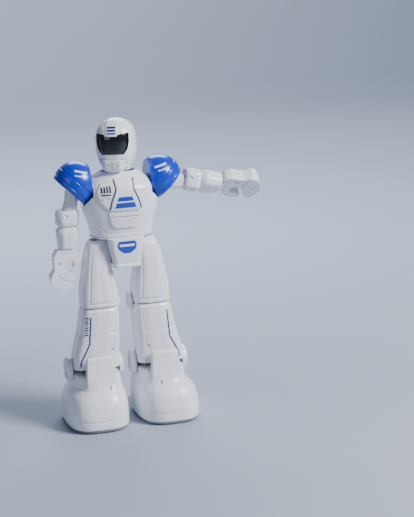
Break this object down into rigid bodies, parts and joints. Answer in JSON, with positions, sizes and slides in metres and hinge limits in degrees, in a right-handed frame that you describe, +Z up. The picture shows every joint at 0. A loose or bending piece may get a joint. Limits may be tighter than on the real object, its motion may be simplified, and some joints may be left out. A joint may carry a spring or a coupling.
{
  "type": "walking toy robot",
  "caption": "Humanoid toy robot with a turning head, swinging shoulders, lifting arms, open-grip hands and sliding feet with driven wheels.",
  "frame": {"origin": "centre of the posed robot's bounding box, on the plane of its soles", "axes": "+Z up, the robot faces -Y, and its left arm, raised sideways, points to +X"},
  "size_m": [0.1919, 0.08, 0.2668],
  "materials": {
    "white_plastic": "semi-gloss moulded ABS",
    "blue_plastic": "high-gloss moulded ABS",
    "black_gloss": "polished dark visor",
    "grey_plastic": "fine matt texture",
    "wheel_rubber": "matt rubber",
    "bright_steel": "plated",
    "board_green": "solder resist",
    "cell_wrap": "printed sleeve"
  },
  "bodies": {
    "torso": {"chest_shell": "white_plastic", "back_shell": "white_plastic", "chest_plate": "white_plastic", "belly_plate": "white_plastic", "neck_collar": "white_plastic", "pelvis_shell": "white_plastic", "hip_axle": "bright_steel", "circuit_board": "board_green", "speaker": "grey_plastic", "battery_1": "cell_wrap", "battery_2": "cell_wrap", "battery_3": "cell_wrap", "lower_contact": "bright_steel", "upper_contact": "bright_steel"},
    "door": {"battery_door": "white_plastic", "door_screw": "bright_steel"},
    "switch": {"power_switch": "grey_plastic"},
    "head": {"face_shell": "white_plastic", "rear_head_shell": "white_plastic", "visor": "black_gloss", "jaw": "white_plastic", "neck_post": "grey_plastic"},
    "left_shoulder": {"left_pauldron": "blue_plastic", "left_shoulder_pin": "bright_steel"},
    "left_arm": {"left_upper_arm": "white_plastic"},
    "left_lower_arm": {"left_forearm": "white_plastic", "left_hand": "white_plastic"},
    "left_leg": {"left_thigh_front": "white_plastic", "left_thigh_back": "white_plastic", "left_knee_disc": "white_plastic", "left_shin_front": "white_plastic", "left_shin_back": "white_plastic", "left_ankle_block": "grey_plastic"},
    "left_foot": {"left_foot_shell": "white_plastic", "left_sole": "grey_plastic", "left_ankle_pin": "white_plastic", "left_ankle_cap": "white_plastic", "left_foot_motor": "bright_steel"},
    "left_wheel": {"left_drive_wheel": "wheel_rubber", "left_drive_gear": "bright_steel"},
    "left_pinion": {"left_motor_pinion": "bright_steel"},
    "right_shoulder": {"right_pauldron": "blue_plastic", "right_shoulder_pin": "bright_steel"},
    "right_arm": {"right_upper_arm": "white_plastic"},
    "right_lower_arm": {"right_forearm": "white_plastic", "right_hand": "white_plastic"},
    "right_leg": {"right_thigh_front": "white_plastic", "right_thigh_back": "white_plastic", "right_knee_disc": "white_plastic", "right_shin_front": "white_plastic", "right_shin_back": "white_plastic", "right_ankle_block": "grey_plastic"},
    "right_foot": {"right_foot_shell": "white_plastic", "right_sole": "grey_plastic", "right_ankle_pin": "white_plastic", "right_ankle_cap": "white_plastic", "right_foot_motor": "bright_steel"},
    "right_wheel": {"right_drive_wheel": "wheel_rubber", "right_drive_gear": "bright_steel"},
    "right_pinion": {"right_motor_pinion": "bright_steel"}
  },
  "joints": [
    {"name": "right_hip", "type": "hinge", "parent": "torso", "child": "right_leg", "pos_m": [-0.0525, 0, 0.154], "axis": [1, 0, 0], "range_deg": [-8, 8]},
    {"name": "head_turn", "type": "hinge", "parent": "torso", "child": "head", "pos_m": [-0.0315, 0, 0.224], "axis": [0, 0, 1], "range_deg": [-35, 85]},
    {"name": "door_lift_off", "type": "slide", "parent": "torso", "child": "door", "axis": [0, 1, 0], "range_m": [0, 0.025]},
    {"name": "switch_slide", "type": "slide", "parent": "torso", "child": "switch", "axis": [1, 0, 0], "range_m": [0, 0.004]},
    {"name": "left_shoulder_swing", "type": "hinge", "parent": "torso", "child": "left_shoulder", "pos_m": [-0.006, 0.001, 0.213], "axis": [1, 0, 0], "range_deg": [-170, 60]},
    {"name": "left_arm_lift", "type": "hinge", "parent": "left_shoulder", "child": "left_arm", "pos_m": [0.0095, 0.001, 0.208], "axis": [0, -1, 0], "range_deg": [-77, 13]},
    {"name": "left_forearm_turn", "type": "hinge", "parent": "left_arm", "child": "left_lower_arm", "pos_m": [0.04131, 0.001, 0.2062], "axis": [-0.9744, 0, 0.225], "range_deg": [-50, 130]},
    {"name": "left_hip", "type": "hinge", "parent": "torso", "child": "left_leg", "pos_m": [-0.0105, 0, 0.154], "axis": [1, 0, 0], "range_deg": [-8, 8]},
    {"name": "left_ankle", "type": "hinge", "parent": "left_leg", "child": "left_foot", "pos_m": [-0.0025, 0.008, 0.048], "axis": [1, 0, 0], "range_deg": [-8, 8]},
    {"name": "left_wheel_spin", "type": "hinge", "parent": "left_foot", "child": "left_wheel", "pos_m": [0.0105, 0.016, 0.0096], "axis": [1, 0, 0], "continuous": true},
    {"name": "left_pinion_spin", "type": "hinge", "parent": "left_foot", "child": "left_pinion", "pos_m": [0.0035, 0.0052, 0.0096], "axis": [1, 0, 0], "continuous": true},
    {"name": "right_shoulder_swing", "type": "hinge", "parent": "torso", "child": "right_shoulder", "pos_m": [-0.057, 0.001, 0.213], "axis": [1, 0, 0], "range_deg": [-170, 60]},
    {"name": "right_arm_lift", "type": "hinge", "parent": "right_shoulder", "child": "right_arm", "pos_m": [-0.0725, 0.001, 0.208], "axis": [0, 1, 0], "range_deg": [0, 90]},
    {"name": "right_forearm_turn", "type": "hinge", "parent": "right_arm", "child": "right_lower_arm", "pos_m": [-0.0779, 0.001, 0.1766], "axis": [0, 0, 1], "range_deg": [-90, 90]},
    {"name": "right_ankle", "type": "hinge", "parent": "right_leg", "child": "right_foot", "pos_m": [-0.0605, 0.008, 0.048], "axis": [1, 0, 0], "range_deg": [-8, 8]},
    {"name": "right_wheel_spin", "type": "hinge", "parent": "right_foot", "child": "right_wheel", "pos_m": [-0.0735, 0.016, 0.0096], "axis": [1, 0, 0], "continuous": true},
    {"name": "right_pinion_spin", "type": "hinge", "parent": "right_foot", "child": "right_pinion", "pos_m": [-0.0665, 0.0052, 0.0096], "axis": [1, 0, 0], "continuous": true}
  ],
  "couplings": [
    {"joint": "left_pinion_spin", "follows": "left_wheel_spin", "ratio": -2},
    {"joint": "right_pinion_spin", "follows": "right_wheel_spin", "ratio": -2},
    {"joint": "left_hip", "follows": "right_hip", "ratio": -1},
    {"joint": "right_ankle", "follows": "right_hip", "ratio": -1},
    {"joint": "left_ankle", "follows": "right_hip", "ratio": 1}
  ]
}
